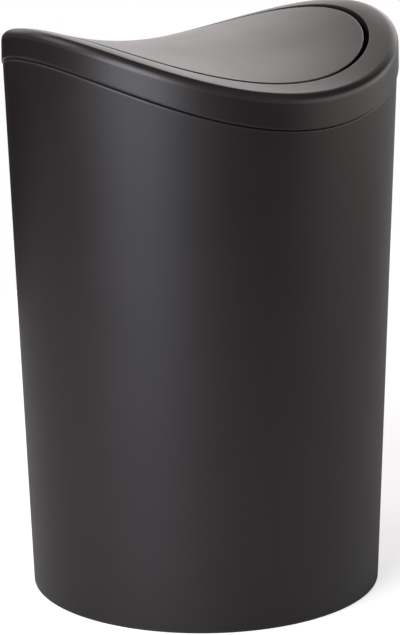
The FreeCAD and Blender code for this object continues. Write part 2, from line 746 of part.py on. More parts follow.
os.makedirs("parts", exist_ok=True)
for node, made in nodes.items():
    made.Shape.exportStep(f"parts/{node}.step")
    print(node, round(made.Shape.Volume), "mm3")
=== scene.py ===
import math

import bpy
import mathutils
import numpy as np
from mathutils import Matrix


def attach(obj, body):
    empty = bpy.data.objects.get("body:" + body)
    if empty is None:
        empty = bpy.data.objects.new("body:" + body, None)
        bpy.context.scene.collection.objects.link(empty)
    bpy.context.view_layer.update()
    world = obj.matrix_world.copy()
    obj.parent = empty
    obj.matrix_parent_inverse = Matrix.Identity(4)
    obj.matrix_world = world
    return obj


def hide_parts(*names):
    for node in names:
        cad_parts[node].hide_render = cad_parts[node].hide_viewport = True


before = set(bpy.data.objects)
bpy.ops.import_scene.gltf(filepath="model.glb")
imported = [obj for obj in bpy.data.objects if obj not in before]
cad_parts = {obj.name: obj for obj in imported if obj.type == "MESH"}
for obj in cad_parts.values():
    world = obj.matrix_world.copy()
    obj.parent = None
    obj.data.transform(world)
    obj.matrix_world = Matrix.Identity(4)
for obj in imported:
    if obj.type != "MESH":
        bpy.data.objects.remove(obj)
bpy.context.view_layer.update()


# Bucket
# A tapered tub of charcoal polypropylene, injection moulded in one shot through a gate under its
# floor. It stands free on a foot ring, and its rim is cut to a saddle that carries the lid.
MM = 0.001
BASE_RADIUS = 86.4
DRAFT = math.tan(math.radians(1.78))
BUCKET_WALL = 2.0
FLOOR_TOP = 4.8
FOOT_DEPTH = 2.6
FOOT_WIDTH = 6.0
FOOT_INSET = 0.05
FOOT_RADIUS = BASE_RADIUS - FOOT_INSET
BASE_BAND = 5.5
BASE_ROUND = 0.5
FLOOR_CORNER = 5.0
RIM = 251.7
RIM_ROUND = 0.8
FLAP_BENDS = (291.0, 332.0)
GATE_WELL = (7.0, 6.2)
GATE_WELL_DEPTH = 0.5
GATE_PIP = (1.6, 1.2)
GATE_PIP_LENGTH = 0.9

COLUMNS = 288
ARC_STEPS = 8
LONGEST_STEP = 6.0
EDGE_GUARD = 0.8
SHORTEST_RUN = 3 * EDGE_GUARD
SHARP_ANGLE = math.radians(40)
SETTLE_ROUNDS = 6
bearings = np.linspace(0, 2 * np.pi, COLUMNS, endpoint=False)
EAST, NORTH = np.cos(bearings), np.sin(bearings)


def wall_line(height, inset):
    """Radius of the leaning wall: the base radius plus the draft times the height, less an inset."""
    return BASE_RADIUS + DRAFT * height - inset


def saddle(east, north, bends, centre, depth=0.0):
    """Height of a sheet that lies a depth under a saddle.

    An arch of the cross radius over Y is swung about a line along Y, the long radius above its crown:
    centre + long - sqrt((long + cross - arch)^2 - x^2), where arch = sqrt((cross - depth)^2 - y^2).
    """
    long_radius, cross_radius = bends
    arch = np.sqrt((cross_radius - depth) ** 2 - north**2)
    return centre + long_radius - np.sqrt((long_radius + cross_radius - arch) ** 2 - east**2)


def wall_ring(inset, bends, centre, depth=0.0):
    """Ring where a saddle meets the leaning wall: height and radius in turn until they settle."""
    radius = wall_line(centre, inset)
    for _ in range(SETTLE_ROUNDS):
        height = saddle(radius * EAST, radius * NORTH, bends, centre, depth)
        radius = wall_line(height, inset)
    return np.stack([radius, height], -1)


def level_ring(radius, height):
    """Ring of one radius at one height."""
    return np.tile([float(radius), float(height)], (COLUMNS, 1))


def unit(vectors):
    """Vectors divided by their lengths."""
    return vectors / np.linalg.norm(vectors, axis=-1, keepdims=True)


def rounded(corners):
    """Outline with its corners rounded, at all stations at once, and an edge mark on every arc point.

    A corner is a pair of its places, one per station, and a radius, one number or a column of them.
    With the unit arms a and b from the arc's centre to its two ends and the turn w between them, the
    arc at share s is centre + radius (a sin((1 - s) w) + b sin(s w)) / sin(w).
    """
    places = np.stack(np.broadcast_arrays(*[place for place, _ in corners]))
    share = np.linspace(0, 1, ARC_STEPS + 1)[:, None, None]
    rows = []
    for index, (_, radius) in enumerate(corners):
        place = places[index]
        if np.all(radius == 0):
            rows.append(np.dstack([place[None], np.zeros((1, len(place)))]))
            continue
        back = unit(places[index - 1] - place)
        ahead = unit(places[(index + 1) % len(corners)] - place)
        half = np.arccos(np.sum(back * ahead, axis=-1, keepdims=True)) / 2
        centre = place + unit(back + ahead) * radius / np.sin(half)
        arm, far_arm = (unit(place + side * radius / np.tan(half) - centre) for side in (back, ahead))
        turn = np.pi - 2 * half
        points = centre + radius * (
            arm * np.sin((1 - share) * turn) + far_arm * np.sin(share * turn)
        ) / np.sin(turn)
        rows.append(np.dstack([points, np.ones(points.shape[:2])]))
    return np.concatenate(rows)


def filled(rows, closed):
    """Rows with more rows on every long run: a guard next to each end, and even steps between.

    A row at share s of a run is start + s (end - start). The edge mark is nought between the guards.
    """
    ends = np.concatenate([rows[1:], rows[:1]])
    runs = []
    for start, end in zip(rows if closed else rows[:-1], ends):
        length = np.linalg.norm(end[:, :2] - start[:, :2], axis=1).max()
        share = np.zeros(1)
        if length > SHORTEST_RUN:
            guard = EDGE_GUARD / length
            steps = math.ceil(length / LONGEST_STEP) + 1
            share = np.append(share, np.linspace(guard, 1 - guard, steps))
        run = start + (end - start) * share[:, None, None]
        run[1:, :, 2] = 0
        runs.append(run)
    if not closed:
        runs.append(rows[-1:])
    return np.concatenate(runs)


def skin(grid, closed):
    """Points and faces over a grid whose columns go round and meet.

    Rows of a closed profile meet too. The first and last rows of an open one shrink to one point each.
    Faces are turned round if the signed volume, the sum of a . (b x c) over them, is below nought.
    """
    rows, columns = grid.shape[:2]
    if closed:
        points = grid.reshape(-1, grid.shape[2])
        index = np.arange(rows * columns).reshape(rows, columns)
        index = np.vstack([index, index[:1]])
    else:
        points = np.vstack([grid[0, :1], grid[1:-1].reshape(-1, grid.shape[2]), grid[-1, :1]])
        index = np.arange(1, (rows - 2) * columns + 1).reshape(rows - 2, columns)
        index = np.vstack([np.zeros_like(index[:1]), index, np.full_like(index[:1], len(points) - 1)])
    beside = np.roll(index, -1, axis=1)
    quads = np.stack([index[:-1], beside[:-1], beside[1:], index[1:]], -1).reshape(-1, 4)
    tips = np.zeros((0, 3), int)
    if not closed:
        tips = np.vstack([quads[:columns, 1:], quads[-columns:, :3]])
        quads = quads[columns:-columns]
    a, b, c = np.moveaxis(points[:, :3][quads[:, :3]], 1, 0)
    if np.sum(a * np.cross(b, c)) < 0:
        quads, tips = quads[:, ::-1], tips[:, ::-1]
    return points, quads, tips


def upright(rows, closed):
    """Skin round the bin's axis: (radius, height) goes to (radius cos, radius sin, height)."""
    radius, height, edge = np.moveaxis(rows, 2, 0)
    return skin(np.stack([radius * EAST, radius * NORTH, height, edge], -1), closed)


def mould(name, *skins):
    """One piece from closed skins in millimetres, with its edge marks as a point attribute."""
    points, faces, start = [], [], 0
    for spots, quads, tips in skins:
        points.append(spots)
        faces += (quads + start).tolist() + (tips + start).tolist()
        start += len(spots)
    points = np.concatenate(points)
    mesh = bpy.data.meshes.new(name)
    mesh.from_pydata((points[:, :3] * MM).tolist(), [], faces)
    edge = mesh.attributes.new("edge", "FLOAT", "POINT")
    edge.data.foreach_set("value", points[:, 3].astype(np.float32))
    mesh.polygons.foreach_set("use_smooth", np.ones(len(faces), bool))
    mesh.set_sharp_from_angle(angle=SHARP_ANGLE)
    mesh.update()
    piece = bpy.data.objects.new(name, mesh)
    bpy.context.scene.collection.objects.link(piece)
    return piece


def linear(hex_colour):
    """An sRGB hex colour as linear red, green, blue and alpha."""
    shares = np.array([int(hex_colour[i : i + 2], 16) for i in (1, 3, 5)]) / 255
    toe = shares / 12.92
    curve = ((shares + 0.055) / 1.055) ** 2.4
    return (*np.where(shares <= 0.04045, toe, curve).tolist(), 1.0)


def add_node(tree, kind, inputs=None, **settings):
    """A node of this kind; each input is a socket to link from or a value to set."""
    made = tree.nodes.new(kind)
    for key, setting in settings.items():
        setattr(made, key, setting)
    for key, source in (inputs or {}).items():
        if isinstance(source, bpy.types.NodeSocket):
            tree.links.new(source, made.inputs[key])
        else:
            made.inputs[key].default_value = source
    return made


# Colour sockets of the Mix node, by number because its sockets share their names.
MIX_A, MIX_B, MIX_OUT = 6, 7, 2
PIGMENT_CLOUD = 45.0
# The spark-eroded grain of the mould is about 0.15 mm; it is drawn at 0.9 mm, so that it shows.
MOULD_GRAIN = 0.9
GRAIN_RELIEF = 0.012
GRAIN_SHARE = 0.5
POLYPROPYLENE_IOR = 1.49


def moulded_polypropylene(name, dark, light, rubbed_and_highlit, gloss):
    """Pigmented polypropylene from a finely eroded mould.

    It gives a dark body under a soft, broad shine that varies a little with the flow of the melt, a
    faint grain, and edges that handling has made smoother, which are also paler, partly from wear and
    partly as a painted highlight.
    """
    made = bpy.data.materials.new(name)
    made.use_nodes = True
    tree = made.node_tree
    shader = tree.nodes["Principled BSDF"]
    shader.inputs["IOR"].default_value = POLYPROPYLENE_IOR
    place = add_node(tree, "ShaderNodeTexCoord").outputs["Object"]
    cloud = add_node(
        tree, "ShaderNodeTexNoise", {"Vector": place, "Scale": 1 / (PIGMENT_CLOUD * MM), "Detail": 4.0}
    ).outputs["Fac"]
    grain = add_node(
        tree, "ShaderNodeTexNoise", {"Vector": place, "Scale": 1 / (MOULD_GRAIN * MM), "Detail": 2.0}
    ).outputs["Fac"]
    edge = add_node(tree, "ShaderNodeAttribute", attribute_name="edge").outputs["Fac"]
    pigment = add_node(
        tree,
        "ShaderNodeMix",
        {0: cloud, MIX_A: linear(dark), MIX_B: linear(light)},
        data_type="RGBA",
    ).outputs[MIX_OUT]
    # Paler edges: partly handling wear, partly a painted highlight along every rounded edge, concave
    # ones too.
    rub_and_highlight = add_node(tree, "ShaderNodeMath", {0: edge, 1: cloud}, operation="MULTIPLY").outputs[0]
    colour = add_node(
        tree, "ShaderNodeMix", {0: rub_and_highlight, MIX_A: pigment, MIX_B: linear(rubbed_and_highlit)}, data_type="RGBA"
    ).outputs[MIX_OUT]
    smooth, dull = gloss
    sheen = add_node(
        tree, "ShaderNodeMapRange", {"Value": cloud, "To Min": smooth, "To Max": dull}
    ).outputs[0]
    polish = add_node(
        tree, "ShaderNodeMath", {0: rub_and_highlight, 1: smooth - dull, 2: sheen}, operation="MULTIPLY_ADD"
    ).outputs[0]
    relief = add_node(
        tree,
        "ShaderNodeBump",
        {"Height": grain, "Strength": GRAIN_SHARE, "Distance": GRAIN_RELIEF * MM},
    ).outputs[0]
    tree.links.new(colour, shader.inputs["Base Color"])
    tree.links.new(polish, shader.inputs["Roughness"])
    tree.links.new(relief, shader.inputs["Normal"])
    return made


# The third colour is the paler edge colour: partly wear, partly a painted highlight.
charcoal = moulded_polypropylene(
    "charcoal_moulded_polypropylene", "#1a1515", "#211b1b", "#373131", (0.39, 0.48)
)
bucket = mould(
    "bucket_moulding",
    upright(
        filled(
            rounded(
                [
                    (level_ring(0, FLOOR_TOP), 0),
                    (level_ring(wall_line(FLOOR_TOP, BUCKET_WALL), FLOOR_TOP), FLOOR_CORNER),
                    (wall_ring(BUCKET_WALL, FLAP_BENDS, RIM), RIM_ROUND),
                    (wall_ring(0, FLAP_BENDS, RIM), RIM_ROUND),
                    (level_ring(wall_line(BASE_BAND, 0), BASE_BAND), 0),
                    (level_ring(FOOT_RADIUS, 0), BASE_ROUND),
                    (level_ring(FOOT_RADIUS - FOOT_WIDTH, 0), BASE_ROUND),
                    (level_ring(FOOT_RADIUS - FOOT_WIDTH, FOOT_DEPTH), 0),
                    (level_ring(GATE_WELL[0], FOOT_DEPTH), 0),
                    (level_ring(GATE_WELL[1], FOOT_DEPTH + GATE_WELL_DEPTH), 0),
                    (level_ring(GATE_PIP[0], FOOT_DEPTH + GATE_WELL_DEPTH), 0),
                    (level_ring(GATE_PIP[1], FOOT_DEPTH + GATE_WELL_DEPTH - GATE_PIP_LENGTH), 0),
                    (level_ring(0, FOOT_DEPTH + GATE_WELL_DEPTH - GATE_PIP_LENGTH), 0),
                ]
            ),
            closed=False,
        ),
        closed=False,
    ),
)
bucket.data.materials.append(charcoal)
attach(bucket, "bucket")
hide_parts("bucket")


# Lid frame
# One moulding of charcoal polypropylene: a ring that bends down outwards at its raised ends, a skirt
# that leans in and stands on the rim, a spigot with centring ribs inside it, and two brackets for the
# flap's bearings.
FRAME_HEIGHT = 16.4
TOP = RIM + FRAME_HEIGHT
FRAME_WALL = 2.2
# Falls and edge roundings of the ring, first at its raised ends and then at its low sides.
FRAME_FALLS = (2.3, -0.5)
FRAME_ROUNDS = (3.8, 4.4)
SKIRT_PROUD = 1.0
SKIRT_RADIUS = wall_line(RIM, -SKIRT_PROUD)
SKIRT_LEAN = math.tan(math.radians(1.0))
RING_WIDTH = 13.8
HOLE_ROUND = 0.5
LIP_WALL = 1.8
LIP_DEPTH = 3.6
SEAT_GAP = 0.3
SEAT = RIM + SEAT_GAP
GROOVE_GAP = 0.8
GROOVE_INSET = 0.7
SPIGOT_INSET = 1.4
SPIGOT_WALL = 1.8
SPIGOT_DEPTH = 9.0
SPIGOT_FOOT = RIM - SPIGOT_DEPTH
CHANNEL_ROOF = 8.0
FINE_ROUND = 0.25
SMALL_ROUND = 0.4
RIB_COUNT = 8
RIB_WIDTH = 2.4
RIB_DROP = 1.5
RIB_TOP = RIM - RIB_DROP
RIB_CLEARANCE = 0.35
RIB_INSET = BUCKET_WALL + RIB_CLEARANCE
RIB_STATIONS = 6
RING_ROWS = 10
# The rounding of the ring's outer edge begins within this distance of the skirt.
ROUND_REACH = 6.1

HOLE_RADIUS = wall_line(TOP, RING_WIDTH)
SKIRT_INNER = 1.8
SPIGOT_OUTER = SKIRT_INNER + SPIGOT_INSET
SPIGOT_MIDDLE = SPIGOT_OUTER + SPIGOT_WALL / 2
SPIGOT_INNER = SPIGOT_OUTER + SPIGOT_WALL


def shaft_ring(radius, bends, centre, depth=0.0):
    """Ring where a saddle meets an upright round shaft."""
    height = saddle(radius * EAST, radius * NORTH, bends, centre, depth)
    return np.stack([np.full(COLUMNS, float(radius)), height], -1)


def mixed(along_x, along_y):
    """A size that changes round the bin: along_x cos^2 + along_y sin^2."""
    return along_x * EAST**2 + along_y * NORTH**2


def fall(radius):
    """How far the ring bends down under the flap's saddle: share^2 of its width times the fall."""
    share = (radius - HOLE_RADIUS) / (SKIRT_RADIUS - HOLE_RADIUS)
    return share**2 * mixed(*FRAME_FALLS)


def frame_ring(radius, depth=0.0):
    """Ring on the frame's top, or a depth under it, at one radius or at one per bearing."""
    height = saddle(radius * EAST, radius * NORTH, FLAP_BENDS, TOP, depth) - fall(radius)
    return np.stack([np.broadcast_to(radius, COLUMNS), height], -1)


def frame_wall_ring(inset, depth=0.0):
    """Ring on or under the frame's top along the line of the bucket's wall."""
    return frame_ring(wall_ring(inset, FLAP_BENDS, TOP, depth)[:, 0], depth)


def skirt_line(height):
    """Radius of the skirt, which leans in towards its top: radius - lean (height - rim)."""
    return SKIRT_RADIUS - SKIRT_LEAN * (height - RIM)


def frame_walls():
    """Ring, skirt, lip and spigot: one closed profile that follows the saddle round the bin."""
    foot = shaft_ring(SKIRT_RADIUS, FLAP_BENDS, SEAT + GROOVE_GAP)
    foot[:, 0] = skirt_line(foot[:, 1])
    crest = frame_ring(skirt_line(frame_ring(SKIRT_RADIUS)[:, 1]))
    flat = np.linspace(SKIRT_RADIUS - ROUND_REACH, HOLE_RADIUS + 2 * HOLE_ROUND, RING_ROWS)
    lip_radius = HOLE_RADIUS + LIP_WALL
    corners = [
        (wall_ring(GROOVE_INSET, FLAP_BENDS, SEAT), FINE_ROUND),
        (wall_ring(GROOVE_INSET, FLAP_BENDS, SEAT + GROOVE_GAP), FINE_ROUND),
        (foot, FINE_ROUND),
        (crest, mixed(*FRAME_ROUNDS)[:, None]),
        *[(frame_ring(radius), 0) for radius in flat],
        (frame_ring(HOLE_RADIUS), HOLE_ROUND),
        (frame_ring(HOLE_RADIUS, LIP_DEPTH), SMALL_ROUND),
        (frame_ring(lip_radius, LIP_DEPTH), SMALL_ROUND),
        (frame_ring(lip_radius, FRAME_WALL), 0),
        (frame_wall_ring(SPIGOT_INNER, FRAME_WALL), 0),
        (wall_ring(SPIGOT_INNER, FLAP_BENDS, SPIGOT_FOOT), SMALL_ROUND),
        (wall_ring(SPIGOT_OUTER, FLAP_BENDS, SPIGOT_FOOT), SMALL_ROUND),
        (frame_wall_ring(SPIGOT_OUTER, CHANNEL_ROOF), 0),
        (frame_wall_ring(SKIRT_INNER, CHANNEL_ROOF), 0),
        (wall_ring(SKIRT_INNER, FLAP_BENDS, SEAT), FINE_ROUND),
    ]
    return upright(filled(rounded(corners), closed=True), closed=True)


def places(first, second):
    """Corner places from two coordinates, each a number or one number per station."""
    return np.stack(np.broadcast_arrays(first, second), -1)


def carried(corners, path, order):
    """Skin of a rounded outline carried along a path, with a flat fan over each end.

    At station s the outline's two coordinates and the path's s take the axes that order names.
    """
    loops = np.swapaxes(filled(rounded(corners), closed=True), 0, 1)
    grid = np.zeros((*loops.shape[:2], 4))
    grid[:, :, order[0]] = loops[:, :, 0]
    grid[:, :, order[1]] = loops[:, :, 1]
    grid[:, :, order[2]] = path[:, None]
    grid[:, :, 3] = loops[:, :, 2]
    caps = grid[[0, -1]].mean(axis=1, keepdims=True).repeat(grid.shape[1], axis=1)
    return skin(np.concatenate([caps[:1], grid, caps[1:]]), closed=False)


def turned_about(shell, bearing):
    """A skin turned about the bin's axis: x cos - y sin, x sin + y cos."""
    points, quads, tips = shell
    points = points.copy()
    x, y = points[:, 0].copy(), points[:, 1].copy()
    points[:, 0] = x * math.cos(bearing) - y * math.sin(bearing)
    points[:, 1] = x * math.sin(bearing) + y * math.cos(bearing)
    return points, quads, tips


def centring_rib(bearing):
    """Upright rib on the spigot: a rectangle carried down from the rib's top to the spigot's foot."""
    reach = wall_line(RIM, RIB_INSET)
    spot = reach * math.cos(bearing), reach * math.sin(bearing)
    high = saddle(*spot, FLAP_BENDS, RIB_TOP)
    low = saddle(*spot, FLAP_BENDS, SPIGOT_FOOT)
    heights = np.linspace(high, low, RIB_STATIONS)
    inner, outer = wall_line(heights, SPIGOT_MIDDLE), wall_line(heights, RIB_INSET)
    half = RIB_WIDTH / 2
    corners = [
        (places(inner, -half), 0),
        (places(outer, -half), SMALL_ROUND),
        (places(outer, half), SMALL_ROUND),
        (places(inner, half), 0),
    ]
    return turned_about(carried(corners, heights, (0, 1, 2)), bearing)


SIDES = {"front": -1, "rear": 1}
CROWN_FALL = FLAP_BENDS[1] - math.sqrt(FLAP_BENDS[1] ** 2 - HOLE_RADIUS**2)
PIVOT_DEPTH = 11.47
PIVOT = TOP - CROWN_FALL - PIVOT_DEPTH
PIN_RADIUS = 2.5
RUNNING_FIT = 0.05
PRESS_FIT = 0.02
BUSH_WALL = 1.5
BUSH_BORE = PIN_RADIUS + RUNNING_FIT
BUSH_OUTER = BUSH_BORE + BUSH_WALL
BUSH_SEAT = BUSH_OUTER + PRESS_FIT
BRACKET_SETBACK = 0.4
BRACKET_WALL = 4.0
BRACKET_FACE = HOLE_RADIUS + BRACKET_SETBACK
BRACKET_BACK = BRACKET_FACE + BRACKET_WALL
STOP_RADIUS = 9.2
STOP_PEG = 2.0
STOP_CLEARANCE = 0.3
SWING_LIMIT = math.radians(75)
SLOT_INNER = STOP_RADIUS - STOP_PEG - STOP_CLEARANCE
SLOT_OUTER = STOP_RADIUS + STOP_PEG + STOP_CLEARANCE
SLOT_END = SWING_LIMIT + math.asin((STOP_PEG + STOP_CLEARANCE) / STOP_RADIUS)
BRACKET_RIM = 3.0
BRACKET_HALF = SLOT_OUTER + BRACKET_RIM
BRACKET_COLUMNS = 120
# A distance that no edge of a bracket reaches, and an angle too small to see.
FAR_OFF = 1000
HAIR = 1e-6
GUSSET_WALL = 2.0
GUSSET_REACH = 6.0
GUSSET_STATIONS = 4


def bracket(side):
    """Bracket plate in polar cells about the pivot, with a bush seat and a stop slot left open.

    A point at the angle a from straight down and the distance d is (d sin a, PIVOT - d cos a). The
    levels are the seat, both sides of the slot and the outline; a wall stands wherever a filled cell
    meets an open one.
    """
    middle = (BRACKET_FACE + BRACKET_BACK) / 2
    head = saddle(0, middle, FLAP_BENDS, TOP, FRAME_WALL / 2) - PIVOT
    shoulder = math.pi - math.atan2(BRACKET_HALF, head)
    even = np.linspace(-math.pi, math.pi, BRACKET_COLUMNS, endpoint=False)
    angle = np.unique(np.append(even, [-shoulder, -SLOT_END, SLOT_END, shoulder]))
    upper = np.abs(angle) > math.pi / 2
    flank = BRACKET_HALF / np.maximum(np.abs(np.sin(angle)), BRACKET_HALF / FAR_OFF)
    crest = head / np.maximum(-np.cos(angle), head / FAR_OFF)
    outline = np.where(upper, np.minimum(flank, crest), BRACKET_HALF)
    beyond = np.abs(angle) > SLOT_END + HAIR
    slot_side = np.where(beyond, (SLOT_INNER + outline) / 2, SLOT_OUTER)
    levels = np.stack(
        [np.full_like(angle, BUSH_SEAT), np.full_like(angle, SLOT_INNER), slot_side, outline]
    )
    ahead = np.roll(angle, -1)
    sector = angle + ((ahead - angle) % (2 * math.pi)) / 2
    solid = np.ones((3, len(angle)), bool)
    solid[1] = np.abs(sector) > SLOT_END
    index = np.arange(levels.size).reshape(levels.shape)
    beside = np.roll(index, -1, axis=1)
    back = levels.size
    faces = np.stack([index[:-1], beside[:-1], beside[1:], index[1:]], -1)[solid]
    gap = np.zeros((1, len(angle)), bool)
    below, above = np.vstack([gap, solid]), np.vstack([solid, gap])
    rims = np.stack([index, beside, beside + back, index + back], -1)
    before = np.roll(solid, 1, axis=1)
    ends = np.stack([index[:-1], index[1:], index[1:] + back, index[:-1] + back], -1)
    quads = np.concatenate(
        [
            faces,
            faces[:, ::-1] + back,
            rims[below & ~above][:, ::-1],
            rims[above & ~below],
            ends[before & ~solid],
            ends[solid & ~before][:, ::-1],
        ]
    )
    flat = np.stack([levels * np.sin(angle), np.zeros_like(levels), PIVOT - levels * np.cos(angle)], -1)
    near, far = flat.reshape(-1, 3).copy(), flat.reshape(-1, 3).copy()
    near[:, 1], far[:, 1] = side * BRACKET_FACE, side * BRACKET_BACK
    points = np.hstack([np.vstack([near, far]), np.zeros((2 * back, 1))])
    a, b, c = np.moveaxis(points[:, :3][quads[:, :3]], 1, 0)
    if np.sum(a * np.cross(b, c)) < 0:
        quads = quads[:, ::-1]
    return points, quads, np.zeros((0, 3), int)


def gusset(side, hand):
    """Upright web from a bracket out to the spigot: a rectangle carried along the pivot axis."""
    outer = hand * BRACKET_HALF
    inner = hand * (BRACKET_HALF - GUSSET_WALL)
    low = PIVOT - GUSSET_REACH
    far = math.sqrt(wall_line(low, SPIGOT_MIDDLE) ** 2 - BRACKET_HALF**2)
    path = side * np.linspace(BRACKET_BACK - GUSSET_WALL, far, GUSSET_STATIONS)
    head = saddle(outer, path, FLAP_BENDS, TOP, FRAME_WALL / 2)
    corners = [
        (places(inner, low + 0 * path), SMALL_ROUND),
        (places(outer, low + 0 * path), SMALL_ROUND),
        (places(outer, head), 0),
        (places(inner, head), 0),
    ]
    return carried(corners, path, (0, 2, 1))


# The lid's mould has a finer grain, so its shine is a little narrower and brighter than the bucket's.
# Its third colour is the paler edge colour: partly wear, partly a painted highlight.
satin_charcoal = moulded_polypropylene(
    "satin_charcoal_moulded_polypropylene", "#1c1717", "#231d1d", "#393333", (0.35, 0.44)
)
rib_bearings = np.arange(RIB_COUNT) * 2 * math.pi / RIB_COUNT
lid_frame = mould(
    "lid_frame_moulding",
    frame_walls(),
    *[centring_rib(bearing) for bearing in rib_bearings],
    *[bracket(side) for side in SIDES.values()],
    *[gusset(side, hand) for side in SIDES.values() for hand in SIDES.values()],
)
lid_frame.data.materials.append(satin_charcoal)
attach(lid_frame, "lid")
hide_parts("lid_frame")


# Pivot bushes
# Two flanged bearings of natural acetal, as moulded. Each is pressed into its bracket from inside
# the bin, and its flange keeps the flap's hub off the bracket.
BUSH_FLANGE = 6.2
FLANGE_WALL = 1.5
FLANGE_FACE = BRACKET_FACE - FLANGE_WALL
BUSH_ROUND = 0.2
TURNED_COLUMNS = 72
ACETAL_IOR = 1.48
MILK_CLOUD = 3.0
MILK_DEPTH = 1.5
MILK_SHARE = 0.15
ACETAL_GLOSS = (0.3, 0.42)
turns = np.linspace(0, 2 * np.pi, TURNED_COLUMNS, endpoint=False)


def on_axis(corners, height, side, closed):
    """Skin turned about a line along Y at a height: (radius sin, station, height + radius cos)."""
    rows = filled(rounded([(places(r, s + 0 * turns), fillet) for r, s, fillet in corners]), closed)
    radius, station, edge = np.moveaxis(rows, 2, 0)
    x, z = radius * np.sin(turns), height + radius * np.cos(turns)
    return skin(np.stack([x, side * station, z, edge], -1), closed)


def natural_acetal(name):
    """Uncoloured acetal: milky white, waxy, and a little let through by light at its thin flange."""
    made = bpy.data.materials.new(name)
    made.use_nodes = True
    tree = made.node_tree
    shader = tree.nodes["Principled BSDF"]
    shader.inputs["IOR"].default_value = ACETAL_IOR
    shader.inputs["Subsurface Weight"].default_value = MILK_SHARE
    shader.inputs["Subsurface Scale"].default_value = MILK_DEPTH * MM
    place = add_node(tree, "ShaderNodeTexCoord").outputs["Object"]
    milk = add_node(
        tree, "ShaderNodeTexNoise", {"Vector": place, "Scale": 1 / (MILK_CLOUD * MM), "Detail": 3.0}
    ).outputs["Fac"]
    colour = add_node(
        tree,
        "ShaderNodeMix",
        {0: milk, MIX_A: linear("#d6d2c6"), MIX_B: linear("#e6e3d9")},
        data_type="RGBA",
    ).outputs[MIX_OUT]
    smooth, dull = ACETAL_GLOSS
    waxy = add_node(tree, "ShaderNodeMapRange", {"Value": milk, "To Min": smooth, "To Max": dull})
    tree.links.new(colour, shader.inputs["Base Color"])
    tree.links.new(waxy.outputs[0], shader.inputs["Roughness"])
    return made


acetal = natural_acetal("natural_moulded_acetal")
for name, side in SIDES.items():
    bush = mould(
        f"pivot_bush_{name}_turned",
        on_axis(
            [
                (BUSH_BORE, FLANGE_FACE, BUSH_ROUND),
                (BUSH_FLANGE, FLANGE_FACE, BUSH_ROUND),
                (BUSH_FLANGE, BRACKET_FACE, BUSH_ROUND),
                (BUSH_OUTER, BRACKET_FACE, 0),
                (BUSH_OUTER, BRACKET_BACK, BUSH_ROUND),
                (BUSH_BORE, BRACKET_BACK, BUSH_ROUND),
            ],
            PIVOT,
            side,
            closed=True,
        ),
    )
    bush.data.materials.append(acetal)
    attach(bush, "lid")
    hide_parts(f"pivot_bush_{name}")


# Swing flap
# A thin, slightly oval saddle disc of the lid's charcoal polypropylene with a lip round its edge. Two
# stays under it join two hanging ears, and each ear has a hub for its pin, a stop peg and a pocket for
# a weight.
# Gaps to the opening, first at the raised ends and then at the pivots.
FLAP_GAPS = (3.4, 1.3)
FLAP_RADIUS, FLAP_SIDE = (HOLE_RADIUS - gap for gap in FLAP_GAPS)
FLAP_WALL = 2.2
FLAP_ROUND = 0.4
FLAP_LIP_WALL = 1.8
FLAP_LIP_DEPTH = 4.2
FLAP_ROWS = 28
STAY_DEPTH = 7.5
STAY_WALL = 1.8
STAY_STATIONS = 48
EAR_INSET = 2.8
EAR_WALL = 3.0
EAR_FACE = FLAP_RADIUS - EAR_INSET
EAR_BACK = EAR_FACE - EAR_WALL
HUB_RADIUS = 6.0
HUB_PLAY = 0.5
HUB_REACH = 6.0
HUB_FACE = FLANGE_FACE - HUB_PLAY
HUB_BACK = EAR_BACK - HUB_REACH
HUB_BORE = PIN_RADIUS + PRESS_FIT
PEG_REACH = 2.6
PEG_END = BRACKET_FACE + PEG_REACH
PEG_ROUND = 0.5
WEIGHT_DROP = 33.0
SLUG_RADIUS = 9.0
SLUG_LENGTH = 11.0
SLUG_CLEARANCE = 0.1
POCKET_RADIUS = SLUG_RADIUS + SLUG_CLEARANCE
POCKET_WALL = 1.8
POCKET_END = EAR_FACE - POCKET_WALL
SLUG_OUTER = POCKET_END - SLUG_CLEARANCE
SLUG_INNER = SLUG_OUTER - SLUG_LENGTH
CAP_PLUG = 1.5
POCKET_MOUTH = SLUG_INNER - SLUG_CLEARANCE - CAP_PLUG
CASE_WALL = 2.4
EAR_HALF = POCKET_RADIUS + CASE_WALL
WEIGHT_HEIGHT = PIVOT - WEIGHT_DROP
EAR_STATIONS = 48


def flap_ring(share, inset=0.0, depth=0.0):
    """Ring on the flap's saddle, or a depth under it, at a share of the way to its edge or an inset.

    The edge is an ellipse that is longer along Y: a b / sqrt((b cos)^2 + (a sin)^2).
    """
    edge = FLAP_RADIUS * FLAP_SIDE / np.hypot(FLAP_SIDE * EAST, FLAP_RADIUS * NORTH)
    radius = share * (edge - inset)
    return np.stack([radius, saddle(radius * EAST, radius * NORTH, FLAP_BENDS, TOP, depth)], -1)


def flap_disc():
    """Disc and lip: an open profile from the middle of the top, round the lip, to the middle below."""
    shares = np.linspace(0, 1 - 2 * FLAP_ROUND / FLAP_RADIUS, FLAP_ROWS)
    corners = [
        *[(flap_ring(share), 0) for share in shares],
        (flap_ring(1), FLAP_ROUND),
        (flap_ring(1, 0, FLAP_LIP_DEPTH), SMALL_ROUND),
        (flap_ring(1, FLAP_LIP_WALL, FLAP_LIP_DEPTH), SMALL_ROUND),
        (flap_ring(1, FLAP_LIP_WALL, FLAP_WALL), 0),
        *[(flap_ring(share, FLAP_LIP_WALL, FLAP_WALL), 0) for share in shares[::-1]],
    ]
    return upright(rounded(corners), closed=False)


